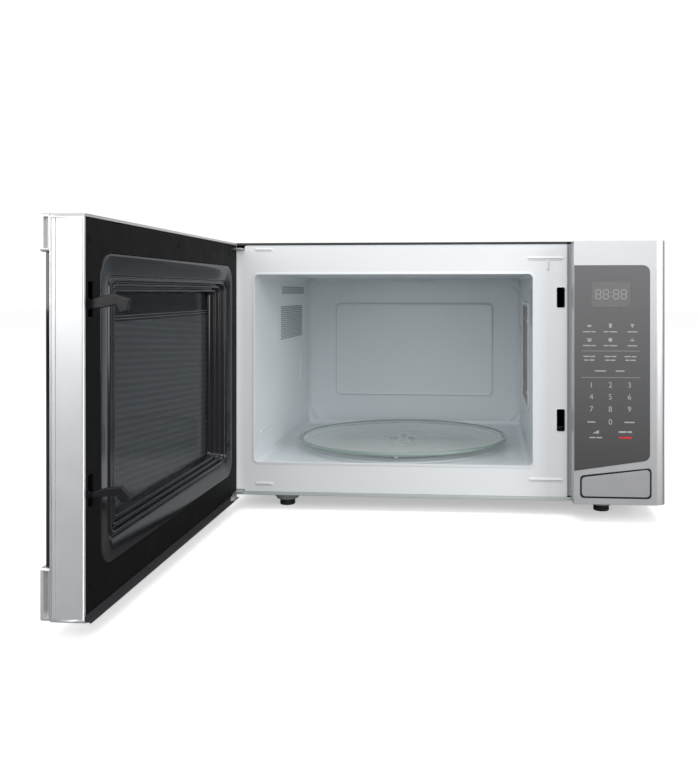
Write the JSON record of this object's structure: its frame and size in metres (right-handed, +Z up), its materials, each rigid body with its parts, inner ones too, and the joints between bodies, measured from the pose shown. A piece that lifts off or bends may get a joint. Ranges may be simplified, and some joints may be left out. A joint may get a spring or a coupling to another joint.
{
  "type": "microwave oven",
  "caption": "Countertop microwave oven with a side-hinged window door, glass turntable and a side keypad panel.",
  "frame": {"origin": "on the counter, under the middle of the outline of the oven with its door open by 90 degrees", "axes": "+Z up, -Y towards the user, +X to the user's right, where the control panel is; the door is hinged on the left"},
  "size_m": [0.5414, 0.8088, 0.3258],
  "materials": {
    "white_enamel": "baked enamel, satin",
    "silver_paint": "silver metallic paint on plastic",
    "black_paint": "black paint, fine texture",
    "black_gloss": "polished black plastic",
    "dark_glass": "black-backed glass",
    "clear_film": "clear plastic film",
    "tray_glass": "pressed glass",
    "steel": "zinc-plated sheet",
    "cast_aluminium": "as cast",
    "copper_wire": "enamelled wire",
    "grey_keypad": "printed film",
    "white_plastic": "moulded",
    "black_plastic": "moulded, satin",
    "black_rubber": "matte",
    "mica": "mica sheet",
    "board_green": "circuit board"
  },
  "bodies": {
    "cabinet": {"front_plate": "white_enamel", "cavity_walls": "white_enamel", "cavity_floor": "white_enamel", "cavity_back": "white_enamel", "waveguide_cover": "mica", "case_wrap": "black_paint", "rear_panel": "black_paint", "cord_gland": "black_rubber", "base_pan": "steel", "front_left_foot": "black_rubber", "rear_left_foot": "black_rubber", "front_right_foot": "black_rubber", "rear_right_foot": "black_rubber", "upper_hinge": "steel", "lower_hinge": "steel", "turntable_motor": "steel", "waveguide": "steel", "magnetron": "cast_aluminium", "transformer_core": "steel", "transformer_winding": "copper_wire", "high_voltage_capacitor": "cast_aluminium", "high_voltage_diode": "black_plastic", "fan_shroud": "white_plastic", "fan_motor": "steel", "oven_lamp": "tray_glass", "lamp_socket": "white_plastic", "thermal_cutout": "steel", "noise_filter_board": "board_green", "interlock_board": "white_plastic", "primary_switch": "black_plastic", "monitor_switch": "black_plastic", "secondary_switch": "black_plastic", "control_panel": "silver_paint", "keypad": "grey_keypad", "display_window": "dark_glass", "control_board": "board_green", "button_spring": "steel"},
    "door": {"door_frame": "silver_paint", "door_bottom_trim": "silver_paint", "door_top_trim": "silver_paint", "door_glass": "dark_glass", "door_inner_panel": "black_paint", "choke_cover": "black_gloss", "window_film": "clear_film", "window_screen": "black_paint", "latch_spring": "steel"},
    "latch": {"latch_bar": "black_plastic"},
    "button": {"release_button": "silver_paint"},
    "lever": {"release_lever": "white_plastic"},
    "coupler": {"turntable_coupler": "white_plastic"},
    "tray": {"turntable_tray": "tray_glass"},
    "ring": {"roller_ring": "white_plastic"},
    "wheel_1": {"roller_wheel_1": "white_plastic"},
    "wheel_2": {"roller_wheel_2": "white_plastic"},
    "wheel_3": {"roller_wheel_3": "white_plastic"},
    "fan": {"fan_blade": "white_plastic"}
  },
  "joints": [
    {"name": "door_hinge", "type": "hinge", "parent": "cabinet", "child": "door", "pos_m": [-0.243, 0.00385, 0], "axis": [0, 0, 1], "range_deg": [-5, 90]},
    {"name": "door_latch", "type": "slide", "parent": "door", "child": "latch", "axis": [0, 0, 1], "range_m": [0, 0.0045], "stiffness_N_per_m": 250, "springref_m": -0.004, "deforming": ["latch_spring"]},
    {"name": "button_press", "type": "slide", "parent": "cabinet", "child": "button", "axis": [0, 1, 0], "range_m": [0, 0.006], "stiffness_N_per_m": 400, "springref_m": -0.002, "deforming": ["button_spring"]},
    {"name": "lever_tip", "type": "hinge", "parent": "cabinet", "child": "lever", "pos_m": [0.1723, 0.02095, 0.094], "axis": [1, 0, 0], "range_deg": [0, 7.11]},
    {"name": "turntable_spin", "type": "hinge", "parent": "cabinet", "child": "coupler", "pos_m": [-0.0471, 0.17195, 0.0575], "axis": [0, 0, 1], "continuous": true},
    {"name": "tray_lift", "type": "slide", "parent": "coupler", "child": "tray", "axis": [0, 0, 1], "range_m": [0, 0.06]},
    {"name": "ring_turn", "type": "hinge", "parent": "cabinet", "child": "ring", "pos_m": [-0.0471, 0.17195, 0.0576], "axis": [0, 0, 1], "continuous": true},
    {"name": "wheel_1_roll", "type": "hinge", "parent": "ring", "child": "wheel_1", "pos_m": [0.0434, 0.2242, 0.0576], "axis": [0.866, 0.5, 0], "continuous": true},
    {"name": "wheel_2_roll", "type": "hinge", "parent": "ring", "child": "wheel_2", "pos_m": [-0.1376, 0.2242, 0.0576], "axis": [-0.866, 0.5, 0], "continuous": true},
    {"name": "wheel_3_roll", "type": "hinge", "parent": "ring", "child": "wheel_3", "pos_m": [-0.0471, 0.06745, 0.0576], "axis": [0, -1, 0], "continuous": true},
    {"name": "fan_spin", "type": "hinge", "parent": "cabinet", "child": "fan", "pos_m": [0.1973, 0.34985, 0.21], "axis": [0, 1, 0], "continuous": true}
  ],
  "couplings": [
    {"joint": "lever_tip", "follows": "button_press", "rad_per_m": 20.4},
    {"joint": "ring_turn", "follows": "turntable_spin", "ratio": 0.5},
    {"joint": "wheel_1_roll", "follows": "turntable_spin", "ratio": -13.75},
    {"joint": "wheel_2_roll", "follows": "turntable_spin", "ratio": -13.75},
    {"joint": "wheel_3_roll", "follows": "turntable_spin", "ratio": -13.75}
  ]
}
